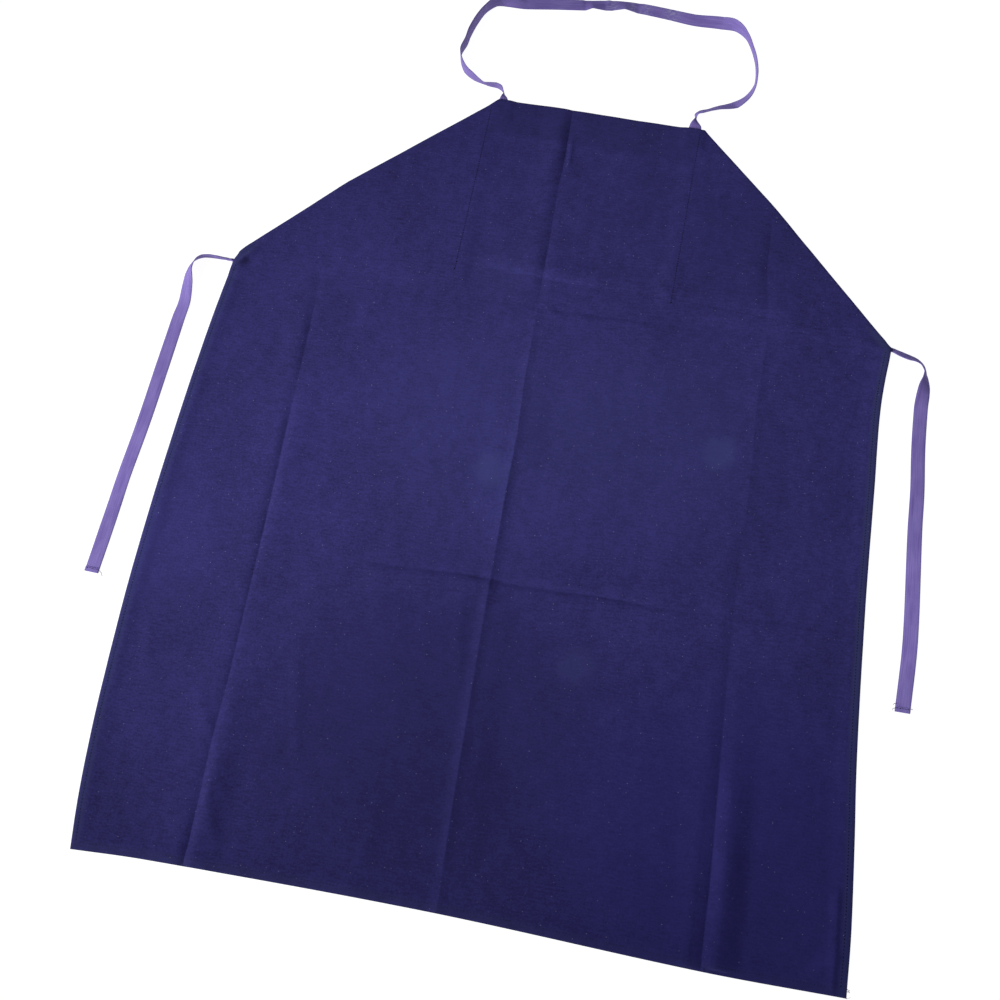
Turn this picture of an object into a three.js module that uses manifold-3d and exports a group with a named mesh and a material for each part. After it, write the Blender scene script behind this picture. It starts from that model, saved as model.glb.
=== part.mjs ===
// A work apron as it lies on a flat surface. One cloth panel has its two top corners folded behind it,
// which shapes the bib. Its edges are turned under and stitched, and cotton tape makes the neck loop
// and the two waist ties. Millimetres, +Z up: X runs across the apron and Y from the bottom edge to
// the neck. The origin lies on the surface, under the middle of the panel.

import * as THREE from 'three';
import { mergeVertices } from 'three/addons/utils/BufferGeometryUtils.js';
import Module from 'manifold-3d';

const wasm = await Module();
wasm.setup();

// Cut and sewn sizes
const PANEL_WIDTH = 800;
const PANEL_LENGTH = 1000;
const SKIRT_LENGTH = 720; // bottom edge to the waist corners
const SIDE_HEM = 10;
const BOTTOM_HEM = 10;
const TOP_HEM = 52;
const CLOTH = 1; // thickness of one layer
const GAP = 0.3; // air between two layers
const TAPE_WIDTH = 16;
const TAPE_THICKNESS = 1;

// Places that follow from the sizes
const HALF_WIDTH = PANEL_WIDTH / 2;
const FOOT = -PANEL_LENGTH / 2;
const TOP = PANEL_LENGTH / 2;
const WAIST = FOOT + SKIRT_LENGTH;
const LAYER = CLOTH + GAP;

// How the cloth was laid down: each table gives an edge as it lies, not as it was cut.
// Sides: how far each edge lies outside its cut line, by height above the bottom edge.
const SIDE_BOW = [
  { up: 0, left: -1, right: 1 },
  { up: 60, left: 7, right: 1 },
  { up: 140, left: 13.5, right: -2 },
  { up: 220, left: 17, right: -6 },
  { up: 310, left: 19, right: -8.5 },
  { up: 420, left: 18, right: -10 },
  { up: 540, left: 14, right: -10 },
  { up: 640, left: 8.5, right: -10 },
  { up: SKIRT_LENGTH, left: 2, right: -3 },
];
// Bottom edge: height over its cut line, across the apron.
const BOTTOM_EDGE = [
  { across: -HALF_WIDTH, up: 3 },
  { across: -320, up: 6 },
  { across: -25, up: 6 },
  { across: 260, up: -3 },
  { across: HALF_WIDTH, up: -3 },
];
// Bib, from the right waist corner round to the left one: the folded edges kink over the creases.
const BIB_EDGE = {
  rightKink: { x: 240, y: 395 },
  topRight: { x: 145, y: 491 },
  topLeft: { x: -121, y: 498 },
  leftKink: { x: -287, y: 346 },
  leftWaist: { x: -402, y: 224 },
};
// Folded corners: the flap's inner edge runs from the top edge down to its tip.
const FLAP = {
  left: { top: -124, tip: -125 },
  right: { top: 135, tip: 126 },
};
const FLAP_FOOT = [
  { across: -HALF_WIDTH, up: WAIST + 1 },
  { across: FLAP.left.tip, up: WAIST + 14 },
  { across: FLAP.right.tip, up: WAIST + 14 },
  { across: HALF_WIDTH, up: WAIST },
];

// Fold lines pressed in while the apron lay packed. A ridge has a positive height. In a valley, with a
// negative one, the line stays on the surface and the cloth lifts on both sides of it.
const SHOULDER = 14;
const REACH = 45;
const CREASE_OFFSETS = [-REACH, -SHOULDER, 0, SHOULDER, REACH];
const LONG_CREASES = [
  { name: 'left', foot: -277, waist: -293, top: -287, skirt: -3.5, bib: 2.5 },
  { name: 'centre', foot: -13, waist: -25, top: -30, skirt: 3.5, bib: -3 },
  { name: 'right', foot: 258, waist: 250, top: 238, skirt: -3.5, bib: 2.5 },
];
const CREASE_TURN = { from: 90, to: 190 }; // the long creases change over just below the waist
const CROSS_CREASES = [
  { name: 'left half', from: -190, to: -22, start: -142, end: -137, height: -2.5 },
  { name: 'right half', from: -22, to: 350, start: -137, end: -132, height: 2.5 },
];
const CROSS_FADE = 60;

// Tape routes, a row for each turn: place on the surface, and how the tape leans. At 0 it lies flat, at
// 90 it stands on its edge, with the edge on the left of its run uppermost, and at 180 it lies flat
// with its other face up.
const NECK_LOOP = [
  { x: -116, y: 468, lean: 0 },
  { x: -116, y: 499, lean: 0 },
  { x: -116, y: 503, lean: 48 },
  { x: -119, y: 510, lean: 78 },
  { x: -128, y: 514, lean: 88 },
  { x: -141, y: 514, lean: 62 },
  { x: -160, y: 524, lean: 25 },
  { x: -174, y: 536, lean: 55 },
  { x: -183, y: 558, lean: 88 },
  { x: -179, y: 578, lean: 72 },
  { x: -177, y: 594, lean: 78 },
  { x: -171, y: 616, lean: 88 },
  { x: -163, y: 634, lean: 82 },
  { x: -150, y: 647, lean: 108 },
  { x: -136, y: 649, lean: 134 },
  { x: -112, y: 652, lean: 168 },
  { x: -75, y: 659, lean: 172 },
  { x: -38, y: 665, lean: 172 },
  { x: -25, y: 667, lean: 156 },
  { x: -4, y: 670, lean: 174 },
  { x: 18, y: 672, lean: 154 },
  { x: 41, y: 671, lean: 176 },
  { x: 76, y: 667, lean: 190 },
  { x: 112, y: 662, lean: 216 },
  { x: 148, y: 661, lean: 226 },
  { x: 167, y: 656, lean: 254 },
  { x: 181, y: 643, lean: 274 },
  { x: 191, y: 622, lean: 275 },
  { x: 198, y: 599, lean: 269 },
  { x: 200, y: 573, lean: 269 },
  { x: 193, y: 550, lean: 240 },
  { x: 178, y: 535, lean: 202 },
  { x: 158, y: 527, lean: 212 },
  { x: 142, y: 519, lean: 228 },
  { x: 132, y: 508, lean: 262 },
  { x: 131, y: 500, lean: 240 },
  { x: 132, y: 494, lean: 180 },
  { x: 132, y: 463, lean: 180 },
];
const LEFT_TIE = [
  { x: -372, y: 208, lean: 0 },
  { x: -403.5, y: 208.5, lean: 0 },
  { x: -408, y: 208.5, lean: 54 },
  { x: -416, y: 209, lean: 62 },
  { x: -430, y: 210, lean: 72 },
  { x: -443, y: 208, lean: 80 },
  { x: -451, y: 199, lean: 80 },
  { x: -452, y: 186, lean: 60 },
  { x: -449, y: 168, lean: 40 },
  { x: -448, y: 146, lean: 28 },
  { x: -450, y: 122, lean: 16 },
  { x: -452, y: 60, lean: 12 },
  { x: -454.5, y: -10, lean: 15 },
  { x: -459, y: -86, lean: 20 },
  { x: -461, y: -148, lean: 20 },
  { x: -463.5, y: -203, lean: 2 },
];
const RIGHT_TIE = [
  { x: 366, y: 209, lean: 180 },
  { x: 398.5, y: 211, lean: 180 },
  { x: 403, y: 213, lean: 124 },
  { x: 408, y: 212.5, lean: 110 },
  { x: 416, y: 210, lean: 106 },
  { x: 426, y: 207.5, lean: 107 },
  { x: 435, y: 200, lean: 107 },
  { x: 438, y: 188, lean: 118 },
  { x: 437, y: 174, lean: 148 },
  { x: 436, y: 152, lean: 166 },
  { x: 436, y: 98, lean: 178 },
  { x: 438, y: 45, lean: 182 },
  { x: 438, y: -6, lean: 178 },
  { x: 440, y: -100, lean: 182 },
  { x: 440, y: -146, lean: 178 },
  { x: 437, y: -210, lean: 180 },
];
const TAPE_STEPS = 3; // sections between two rows

// Tape ends are sewn on behind the cloth, which rides up over them this far around each.
const TAIL_MARGIN = 12;
const NECK_TAILS = [NECK_LOOP[0].x, NECK_LOOP[NECK_LOOP.length - 1].x];
const TIE_TAIL = 38; // in from the side edge
const TIE_TAIL_FOOT = 195;

// Modelling allowances
const OVERHANG = 8; // the working sheet reaches this far past the edges that trim it
const WIDE = HALF_WIDTH + 50;
const RAMP = 12; // width over which the panel comes down from a turned edge
const JOIN = 0.5; // between neighbours in one layer
const TOUCH = 0.01; // a point this near a line counts as on it
const CUT_DEPTH = 60;

const CLOTH_FINISH = { color: 0x2e2b5d, roughness: 0.95, metalness: 0 };
const TAPE_FINISH = { color: 0x786bac, roughness: 0.85, metalness: 0 };

// Straight-line reading of one column of a table whose rows are in order of another.
function readTable(table, order, column, value) {
  const next = table.findIndex((row) => row[order] > value);
  if (next === 0) return table[0][column];
  if (next < 0) return table[table.length - 1][column];
  const from = table[next - 1];
  const to = table[next];
  const share = (value - from[order]) / (to[order] - from[order]);
  return THREE.MathUtils.lerp(from[column], to[column], share);
}

// Edges of the cloth as it lies
const leftEdge = (y) => -HALF_WIDTH - readTable(SIDE_BOW, 'up', 'left', y - FOOT);
const rightEdge = (y) => HALF_WIDTH + readTable(SIDE_BOW, 'up', 'right', y - FOOT);
const bottomEdge = (x) => FOOT + readTable(BOTTOM_EDGE, 'across', 'up', x);
const flapFoot = (x) => readTable(FLAP_FOOT, 'across', 'up', x);

function topEdge(x) {
  const { topLeft, topRight } = BIB_EDGE;
  return THREE.MathUtils.mapLinear(x, topLeft.x, topRight.x, topLeft.y, topRight.y);
}

function flapEdge(flap, y) {
  const share = THREE.MathUtils.clamp((y - WAIST) / (TOP - WAIST), 0, 1);
  return THREE.MathUtils.lerp(flap.tip, flap.top, share);
}

function creaseX(crease, y) {
  if (y < WAIST) return THREE.MathUtils.mapLinear(y, FOOT, WAIST, crease.foot, crease.waist);
  return THREE.MathUtils.mapLinear(y, WAIST, TOP, crease.waist, crease.top);
}

function crossCreaseY(crease, x) {
  return THREE.MathUtils.mapLinear(x, crease.from, crease.to, crease.start, crease.end);
}

// Height of the cloth at a distance from a crease line
function creaseProfile(distance, height) {
  const away = Math.abs(distance);
  if (height > 0) return height * Math.max(0, 1 - away / SHOULDER);
  const rise = away < SHOULDER ? away / SHOULDER : (REACH - away) / (REACH - SHOULDER);
  return -height * Math.max(0, rise);
}

// Height of the lowest layer over the surface, from all the creases
function relief(x, y) {
  const long = LONG_CREASES.map((crease) => {
    const turn = (y - CREASE_TURN.from) / (CREASE_TURN.to - CREASE_TURN.from);
    const height = THREE.MathUtils.lerp(crease.skirt, crease.bib, THREE.MathUtils.clamp(turn, 0, 1));
    return creaseProfile(x - creaseX(crease, y), height);
  });
  const cross = CROSS_CREASES.map((crease) => {
    const inside = Math.min(x - crease.from, crease.to - x) / CROSS_FADE;
    const height = crease.height * THREE.MathUtils.clamp(inside, 0, 1);
    return creaseProfile(y - crossCreaseY(crease, x), height);
  });
  return Math.max(...long, ...cross);
}

// Where a hem or a folded corner lies under the panel
function turnedUnder(x, y) {
  const sideHem = x <= leftEdge(y) + SIDE_HEM + TOUCH || x >= rightEdge(y) - SIDE_HEM - TOUCH;
  const bottomHem = y <= bottomEdge(x) + BOTTOM_HEM + TOUCH;
  const topHem = y >= topEdge(x) - TOP_HEM - TOUCH;
  const pastFlapEdge = x <= flapEdge(FLAP.left, y) + TOUCH || x >= flapEdge(FLAP.right, y) - TOUCH;
  const flap = pastFlapEdge && y >= flapFoot(x) - TOUCH;
  return sideHem || bottomHem || topHem || flap;
}

// Where a tape end lies under everything
function overTail(x, y) {
  const nearNeckTail = NECK_TAILS.some((tail) => Math.abs(x - tail) <= TAIL_MARGIN + TOUCH);
  if (nearNeckTail && y >= topEdge(x) - TOP_HEM - TOUCH) return true;
  const nearSide = x <= leftEdge(y) + TIE_TAIL + TOUCH || x >= rightEdge(y) - TIE_TAIL - TOUCH;
  return nearSide && y >= TIE_TAIL_FOOT - TOUCH && y <= flapFoot(x) + TOUCH;
}

const innerLift = (x, y) => (overTail(x, y) ? LAYER : 0);
const panelLift = (x, y) => innerLift(x, y) + (turnedUnder(x, y) ? LAYER : 0);

// Lines of the working sheet: every place where a layer starts or the cloth bends has a line there.
const creaseLines = (crease) => CREASE_OFFSETS.map((offset) => (y) => creaseX(crease, y) + offset);
const [leftCrease, centreCrease, rightCrease] = LONG_CREASES;
const ACROSS_LINES = [
  (y) => leftEdge(y) - OVERHANG,
  (y) => leftEdge(y) + SIDE_HEM,
  (y) => leftEdge(y) + TIE_TAIL,
  ...creaseLines(leftCrease),
  () => NECK_TAILS[0] - TAIL_MARGIN,
  (y) => flapEdge(FLAP.left, y),
  () => NECK_TAILS[0] + TAIL_MARGIN,
  ...creaseLines(centreCrease),
  () => NECK_TAILS[1] - TAIL_MARGIN,
  (y) => flapEdge(FLAP.right, y),
  () => NECK_TAILS[1] + TAIL_MARGIN,
  ...creaseLines(rightCrease),
  (y) => rightEdge(y) - TIE_TAIL,
  (y) => rightEdge(y) - SIDE_HEM,
  (y) => rightEdge(y) + OVERHANG,
];
const FLAT_LINES = { lowerSkirt: -330, underWaist: [-60, 60, 130], bib: 340 };
const ALONG_LINES = [
  (x) => bottomEdge(x) - OVERHANG,
  (x) => bottomEdge(x) + BOTTOM_HEM,
  (x) => bottomEdge(x) + BOTTOM_HEM + RAMP,
  () => FLAT_LINES.lowerSkirt,
  ...CREASE_OFFSETS.map((offset) => (x) => crossCreaseY(CROSS_CREASES[1], x) + offset),
  ...FLAT_LINES.underWaist.map((y) => () => y),
  () => TIE_TAIL_FOOT,
  flapFoot,
  () => FLAT_LINES.bib,
  (x) => topEdge(x) - TOP_HEM - RAMP,
  (x) => topEdge(x) - TOP_HEM,
  (x) => topEdge(x) + OVERHANG,
];

function linesCross(column, row) {
  const firstX = ACROSS_LINES[column](ALONG_LINES[row](0));
  const y = ALONG_LINES[row](firstX);
  return { x: ACROSS_LINES[column](y), y };
}

// A closed sheet of columns by rows of cells, with an under face (level 0) and an upper face (level 1)
function sheet(columns, rows, pointAt) {
  const points = [];
  const corners = [];
  const id = (column, row, level) => (level * (rows + 1) + row) * (columns + 1) + column;
  const quad = (a, b, c, d) => corners.push(a, b, c, a, c, d);
  for (let level = 0; level <= 1; level += 1) {
    for (let row = 0; row <= rows; row += 1) {
      for (let column = 0; column <= columns; column += 1) {
        points.push(...pointAt(column, row, level).toArray());
      }
    }
  }
  for (let row = 0; row < rows; row += 1) {
    for (let column = 0; column < columns; column += 1) {
      const cell = (level) => [
        id(column, row, level),
        id(column + 1, row, level),
        id(column + 1, row + 1, level),
        id(column, row + 1, level),
      ];
      const [a, b, c, d] = cell(0);
      quad(a, d, c, b);
      quad(...cell(1));
    }
  }
  for (let column = 0; column < columns; column += 1) {
    quad(id(column, 0, 0), id(column + 1, 0, 0), id(column + 1, 0, 1), id(column, 0, 1));
    quad(id(column + 1, rows, 0), id(column, rows, 0), id(column, rows, 1), id(column + 1, rows, 1));
  }
  for (let row = 0; row < rows; row += 1) {
    quad(id(0, row + 1, 0), id(0, row, 0), id(0, row, 1), id(0, row + 1, 1));
    quad(id(columns, row, 0), id(columns, row + 1, 0), id(columns, row + 1, 1), id(columns, row, 1));
  }
  const geometry = new THREE.BufferGeometry();
  geometry.setAttribute('position', new THREE.Float32BufferAttribute(points, 3));
  geometry.setIndex(corners);
  return geometry;
}

function toSolid(geometry) {
  const bare = geometry.clone();
  bare.deleteAttribute('normal');
  bare.deleteAttribute('uv');
  const merged = mergeVertices(bare);
  return new wasm.Manifold(
    new wasm.Mesh({
      numProp: 3,
      vertProperties: new Float32Array(merged.attributes.position.array),
      triVerts: new Uint32Array(merged.index.array),
    }),
  );
}

function toGeometry(solid) {
  const mesh = solid.getMesh();
  const geometry = new THREE.BufferGeometry();
  geometry.setAttribute('position', new THREE.BufferAttribute(mesh.vertProperties, 3));
  geometry.setIndex(new THREE.BufferAttribute(mesh.triVerts, 1));
  geometry.computeVertexNormals();
  return geometry;
}

// One layer of cloth: the working sheet at that layer's height, trimmed to each outline in turn
function clothLayer(lift, ...outlines) {
  const columns = ACROSS_LINES.length - 1;
  const rows = ALONG_LINES.length - 1;
  const working = sheet(columns, rows, (column, row, level) => {
    const { x, y } = linesCross(column, row);
    return new THREE.Vector3(x, y, relief(x, y) + lift(x, y) + level * CLOTH);
  });
  const trimmed = outlines.reduce((cloth, outline) => {
    const cutter = new THREE.ExtrudeGeometry(outline, { depth: CUT_DEPTH, bevelEnabled: false });
    cutter.translate(0, 0, -CUT_DEPTH / 2);
    return cloth.intersect(toSolid(cutter));
  }, toSolid(working));
  return toGeometry(trimmed);
}

// A tape along its route, resting on the surface at every section
function tape(rows) {
  const route = new THREE.CatmullRomCurve3(rows.map((row) => new THREE.Vector3(row.x, row.y, 0)));
  const steps = (rows.length - 1) * TAPE_STEPS;
  const leans = rows.map((row, place) => ({ place, lean: THREE.MathUtils.degToRad(row.lean) }));
  return sheet(steps, 1, (column, side, level) => {
    const lean = readTable(leans, 'place', 'lean', column / TAPE_STEPS);
    const point = route.getPoint(column / steps);
    const heading = route.getTangent(column / steps);
    const across = new THREE.Vector3(-heading.y, heading.x, 0).multiplyScalar(Math.cos(lean));
    across.z = Math.sin(lean);
    const outward = new THREE.Vector3().crossVectors(heading, across);
    point.z = (TAPE_WIDTH * Math.abs(across.z) + TAPE_THICKNESS * Math.abs(outward.z)) / 2;
    point.addScaledVector(across, (side - 0.5) * TAPE_WIDTH);
    return point.addScaledVector(outward, (level - 0.5) * TAPE_THICKNESS);
  });
}

// Outlines, all drawn on the surface
const at = (x, y) => new THREE.Vector2(x, y);

function panelOutline() {
  const bottom = BOTTOM_EDGE.slice(1, -1).map((row) => at(row.across, FOOT + row.up));
  const right = SIDE_BOW.map((row) => at(HALF_WIDTH + row.right, FOOT + row.up));
  const left = SIDE_BOW.map((row) => at(-HALF_WIDTH - row.left, FOOT + row.up)).reverse();
  const bib = Object.values(BIB_EDGE).map((corner) => at(corner.x, corner.y));
  right[0].y = bottomEdge(HALF_WIDTH);
  left[left.length - 1].y = bottomEdge(-HALF_WIDTH);
  return new THREE.Shape([...bottom, ...right, ...bib, ...left]);
}

function flapOutline(flap, side) {
  const far = side * WIDE;
  return new THREE.Shape([
    at(far, flapFoot(far)),
    at(flap.tip, flapFoot(flap.tip)),
    at(flap.top, TOP + OVERHANG),
    at(far, TOP + OVERHANG),
  ]);
}

function topHemOutline() {
  const leftX = (y) => flapEdge(FLAP.left, y) + JOIN;
  const rightX = (y) => flapEdge(FLAP.right, y) - JOIN;
  const leftFoot = topEdge(FLAP.left.top) - TOP_HEM;
  const rightFoot = topEdge(FLAP.right.top) - TOP_HEM;
  return new THREE.Shape([
    at(leftX(leftFoot), leftFoot),
    at(rightX(rightFoot), rightFoot),
    at(rightX(TOP), TOP + OVERHANG),
    at(leftX(TOP), TOP + OVERHANG),
  ]);
}

function bottomHemOutline() {
  const inner = [-WIDE, ...BOTTOM_EDGE.map((row) => row.across), WIDE].reverse();
  const outer = [at(-WIDE, FOOT - OVERHANG), at(WIDE, FOOT - OVERHANG)];
  return new THREE.Shape([...outer, ...inner.map((x) => at(x, bottomEdge(x) + BOTTOM_HEM))]);
}

function sideHemOutline(edge, side) {
  const start = bottomEdge(edge(FOOT)) + BOTTOM_HEM + JOIN;
  const end = flapFoot(edge(WAIST)) - JOIN;
  const between = SIDE_BOW.map((row) => FOOT + row.up).filter((y) => y > start && y < end);
  const stations = [start, ...between, end];
  const outer = stations.map((y) => at(edge(y) + side * OVERHANG, y));
  const inner = stations.map((y) => at(edge(y) - side * SIDE_HEM, y)).reverse();
  return new THREE.Shape([...outer, ...inner]);
}

function piece(name, geometry, finish) {
  const mesh = new THREE.Mesh(geometry, new THREE.MeshStandardMaterial(finish));
  mesh.name = name;
  return mesh;
}

const panel = panelOutline();
const cloth = new THREE.Group();
cloth.add(piece('front_panel', clothLayer(panelLift, panel), CLOTH_FINISH));
const UNDER_LAYERS = {
  left_corner_flap: flapOutline(FLAP.left, -1),
  right_corner_flap: flapOutline(FLAP.right, 1),
  top_hem: topHemOutline(),
  bottom_hem: bottomHemOutline(),
  left_side_hem: sideHemOutline(leftEdge, -1),
  right_side_hem: sideHemOutline(rightEdge, 1),
};
for (const [name, outline] of Object.entries(UNDER_LAYERS)) {
  cloth.add(piece(name, clothLayer(innerLift, panel, outline), CLOTH_FINISH));
}

const tapes = new THREE.Group();
for (const [name, rows] of Object.entries({ neck_loop: NECK_LOOP, left_tie: LEFT_TIE, right_tie: RIGHT_TIE })) {
  tapes.add(piece(name, tape(rows), TAPE_FINISH));
}

const apron = new THREE.Group();
apron.name = 'work_apron';
apron.add(cloth, tapes);

export default apron;
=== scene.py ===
# %% [markdown]
# # A work apron, laid flat
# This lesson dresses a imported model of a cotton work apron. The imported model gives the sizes, and
# every piece made here stays where its plain solid is. A pattern cutter thinks in millimetres, so
# the lesson does too, and a length is multiplied by MM when a vertex is placed.

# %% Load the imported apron
import math

import bmesh
import bpy
from mathutils import Matrix, Quaternion, Vector, noise


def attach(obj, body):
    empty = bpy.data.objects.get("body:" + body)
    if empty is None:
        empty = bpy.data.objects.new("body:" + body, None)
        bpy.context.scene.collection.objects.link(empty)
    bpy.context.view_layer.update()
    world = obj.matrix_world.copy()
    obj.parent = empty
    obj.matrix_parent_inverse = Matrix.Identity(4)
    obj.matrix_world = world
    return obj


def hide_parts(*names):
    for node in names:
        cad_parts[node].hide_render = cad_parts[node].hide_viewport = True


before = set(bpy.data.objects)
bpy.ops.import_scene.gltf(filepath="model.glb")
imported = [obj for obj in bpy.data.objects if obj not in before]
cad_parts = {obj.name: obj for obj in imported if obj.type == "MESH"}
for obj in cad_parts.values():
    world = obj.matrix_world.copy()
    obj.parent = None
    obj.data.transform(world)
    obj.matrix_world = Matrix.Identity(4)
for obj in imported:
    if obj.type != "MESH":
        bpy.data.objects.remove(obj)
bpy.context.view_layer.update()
MM = 0.001

# %% [markdown]
# ## The viewpoint
# The apron was seen from above its bottom edge, about 70 degrees over the surface, with a normal
# lens and the camera turned a little to one side. A place, a point to aim at and a roll say that
# more plainly than three angles would.

# %% Camera
CAMERA_PLACE = Vector((0.0866, -0.5217, 1.3342))
CAMERA_AIM = Vector((-0.0261, -0.0426, 0.0))
CAMERA_ROLL = math.radians(-3.53)

lens = bpy.data.cameras.new("viewpoint")
lens.sensor_width = 36
lens.lens = 45
camera = bpy.data.objects.new("viewpoint", lens)
camera.location = CAMERA_PLACE
camera.rotation_mode = "QUATERNION"
aim = (CAMERA_AIM - CAMERA_PLACE).to_track_quat("-Z", "Y")
camera.rotation_quaternion = aim @ Quaternion((0, 0, 1), CAMERA_ROLL)
bpy.context.scene.collection.objects.link(camera)
bpy.context.scene.camera = camera
print("camera height over the surface, m:", round(camera.location.z, 3))

# %% [markdown]
# ## Table and light
# The apron lies on a table that is lit from within, as a product table is, so it looks plain white
# and the shadows almost vanish. Its glow is too strong for the tapes that stand on edge, so the
# table doesn't light the apron, and a dimmer card under it does. They are alike, so one helper makes
# both. One soft light stands low on the left and shines across the cloth. That leaves the far bottom
# corner darker and gives every crease a lit and a shaded side, which a light from straight above
# wouldn't do. A pale blue sky fills in the rest.

# %% Table and card
STAGE_HALF = 6


def glowing_sheet(name, depth_mm, grey, roughness, glow):
    """A large flat sheet under the apron that gives an even white light."""
    finish = bpy.data.materials.new(name)
    finish.use_nodes = True
    shader = finish.node_tree.nodes["Principled BSDF"]
    shader.inputs["Base Color"].default_value = (grey, grey, grey, 1)
    shader.inputs["Roughness"].default_value = roughness
    shader.inputs["Emission Color"].default_value = (1, 1, 1, 1)
    shader.inputs["Emission Strength"].default_value = glow
    bm = bmesh.new()
    bmesh.ops.create_grid(bm, x_segments=2, y_segments=2, size=STAGE_HALF)
    bmesh.ops.translate(bm, verts=bm.verts, vec=(0, 0, -depth_mm * MM))
    mesh = bpy.data.meshes.new(name)
    bm.to_mesh(mesh)
    bm.free()
    mesh.materials.append(finish)
    sheet = bpy.data.objects.new(name, mesh)
    bpy.context.scene.collection.objects.link(sheet)
    return sheet


table_top = glowing_sheet("table_top", depth_mm=0.2, grey=0.2, roughness=0.8, glow=0.95)
table_top.visible_diffuse = False
bounce_card = glowing_sheet("bounce_card", depth_mm=0.4, grey=0, roughness=0.5, glow=0.65)
bounce_card.visible_camera = False
print("stage:", table_top.name, "and", bounce_card.name)

# %% Soft light
LIGHT_PLACE = Vector((-1.45, -0.6, 0.9))
LIGHT_AIM = Vector((0.25, 0.23, 0.0))

soft_box = bpy.data.lights.new("soft_box", "AREA")
soft_box.shape = "SQUARE"
soft_box.size = 0.8
soft_box.spread = math.radians(50)
soft_box.energy = 4.95
light = bpy.data.objects.new("soft_box", soft_box)
light.location = LIGHT_PLACE
light.rotation_mode = "QUATERNION"
light.rotation_quaternion = (LIGHT_AIM - LIGHT_PLACE).to_track_quat("-Z", "Y")
bpy.context.scene.collection.objects.link(light)

sky = bpy.data.worlds.new("pale_sky")
sky.use_nodes = True
sky.node_tree.nodes["Background"].inputs["Color"].default_value = (0.82, 0.86, 1.0, 1)
sky.node_tree.nodes["Background"].inputs["Strength"].default_value = 0.29
bpy.context.scene.world = sky
bpy.context.scene.view_settings.view_transform = "Standard"
print("light to the middle of the apron, m:", round(LIGHT_PLACE.length, 2))

# %% [markdown]
# ## How the cloth lies
# The panel was cut 800 by 1000 mm, but cloth never lies quite on its cut lines: the sides bow and
# the bottom edge wanders. Short tables give each edge as it lies. A reader with a smooth curve
# through the rows keeps the edges free of corners.

# %% Sizes
HALF_WIDTH = 400
FOOT, WAIST, TOP = -500, 220, 500
SIDE_HEM, BOTTOM_HEM, TOP_HEM = 10, 10, 52
CLOTH = 1.0
LAYER = 1.3
EDGE_TURN = 1.6

SIDE_BOW = [
    {"y": -500, "left": -1, "right": 1},
    {"y": -440, "left": 7, "right": 1},
    {"y": -360, "left": 13.5, "right": -2},
    {"y": -280, "left": 17, "right": -6},
    {"y": -190, "left": 19, "right": -8.5},
    {"y": -80, "left": 18, "right": -10},
    {"y": 40, "left": 14, "right": -10},
    {"y": 140, "left": 8.5, "right": -10},
    {"y": 220, "left": 2, "right": -3},
]
BOTTOM_EDGE = [
    {"x": -400, "y": -497},
    {"x": -320, "y": -494},
    {"x": -25, "y": -494},
    {"x": 260, "y": -503},
    {"x": 400, "y": -503},
]
LEFT_BIB = [{"y": 224, "x": -402}, {"y": 346, "x": -287}, {"y": 498, "x": -121}]
RIGHT_BIB = [{"y": 220, "x": 397}, {"y": 395, "x": 240}, {"y": 491, "x": 145}]
LEFT_FLAP, RIGHT_FLAP = -125, 126
FLAP_FOOT = [
    {"x": -400, "y": 221},
    {"x": LEFT_FLAP, "y": 234},
    {"x": RIGHT_FLAP, "y": 234},
    {"x": 400, "y": 220},
]
WAIST_CORNER, LEFT_ROUND, RIGHT_ROUND = 223, 15, 6
print("panel, mm:", 2 * HALF_WIDTH, "by", TOP - FOOT)


# %% Table readers
def rows_around(rows, order, value):
    """The two rows on either side of a value, and how far it is from the first to the second."""
    place = next((k for k in range(1, len(rows) - 1) if rows[k][order] >= value), len(rows) - 1)
    first, second = rows[place - 1], rows[place]
    share = (value - first[order]) / (second[order] - first[order])
    return place, first, second, min(max(share, 0.0), 1.0)


def straight(rows, order, column, value):
    """Reads one column of a table by straight lines."""
    _, first, second, share = rows_around(rows, order, value)
    return first[column] + (second[column] - first[column]) * share


def smooth(rows, order, column, value):
    """Reads one column of a table by a smooth curve through its rows."""
    place, first, second, share = rows_around(rows, order, value)
    before, after = rows[max(place - 2, 0)], rows[min(place + 1, len(rows) - 1)]
    span = second[order] - first[order]
    leave = (second[column] - before[column]) / (second[order] - before[order]) * span
    arrive = (after[column] - first[column]) / (after[order] - first[order]) * span
    rise = second[column] - first[column]
    bend = (leave + arrive - 2 * rise) * share + 3 * rise - 2 * leave - arrive
    return first[column] + share * (leave + share * bend)


def ease(value, start, end):
    """Goes smoothly from 0 at start to 1 at end."""
    share = min(max((value - start) / (end - start), 0.0), 1.0)
    return share * share * (3 - 2 * share)


print("left side bows out by, mm:", max(row["left"] for row in SIDE_BOW))


# %% Edges
def corner_round(y, reach):
    """How far the edge is rounded off beside a waist corner, where it turns by about 45 degrees."""
    return max(0, reach - abs(y - WAIST_CORNER)) ** 2 / (4 * reach)


def left_edge(y):
    if y > LEFT_BIB[0]["y"]:
        return straight(LEFT_BIB, "y", "x", y) + corner_round(y, LEFT_ROUND)
    return -HALF_WIDTH - smooth(SIDE_BOW, "y", "left", y) + corner_round(y, LEFT_ROUND)


def right_edge(y):
    if y > RIGHT_BIB[0]["y"]:
        return straight(RIGHT_BIB, "y", "x", y) - corner_round(y, RIGHT_ROUND)
    return HALF_WIDTH + smooth(SIDE_BOW, "y", "right", y) - corner_round(y, RIGHT_ROUND)


def bottom_edge(x):
    return smooth(BOTTOM_EDGE, "x", "y", x)


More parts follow.
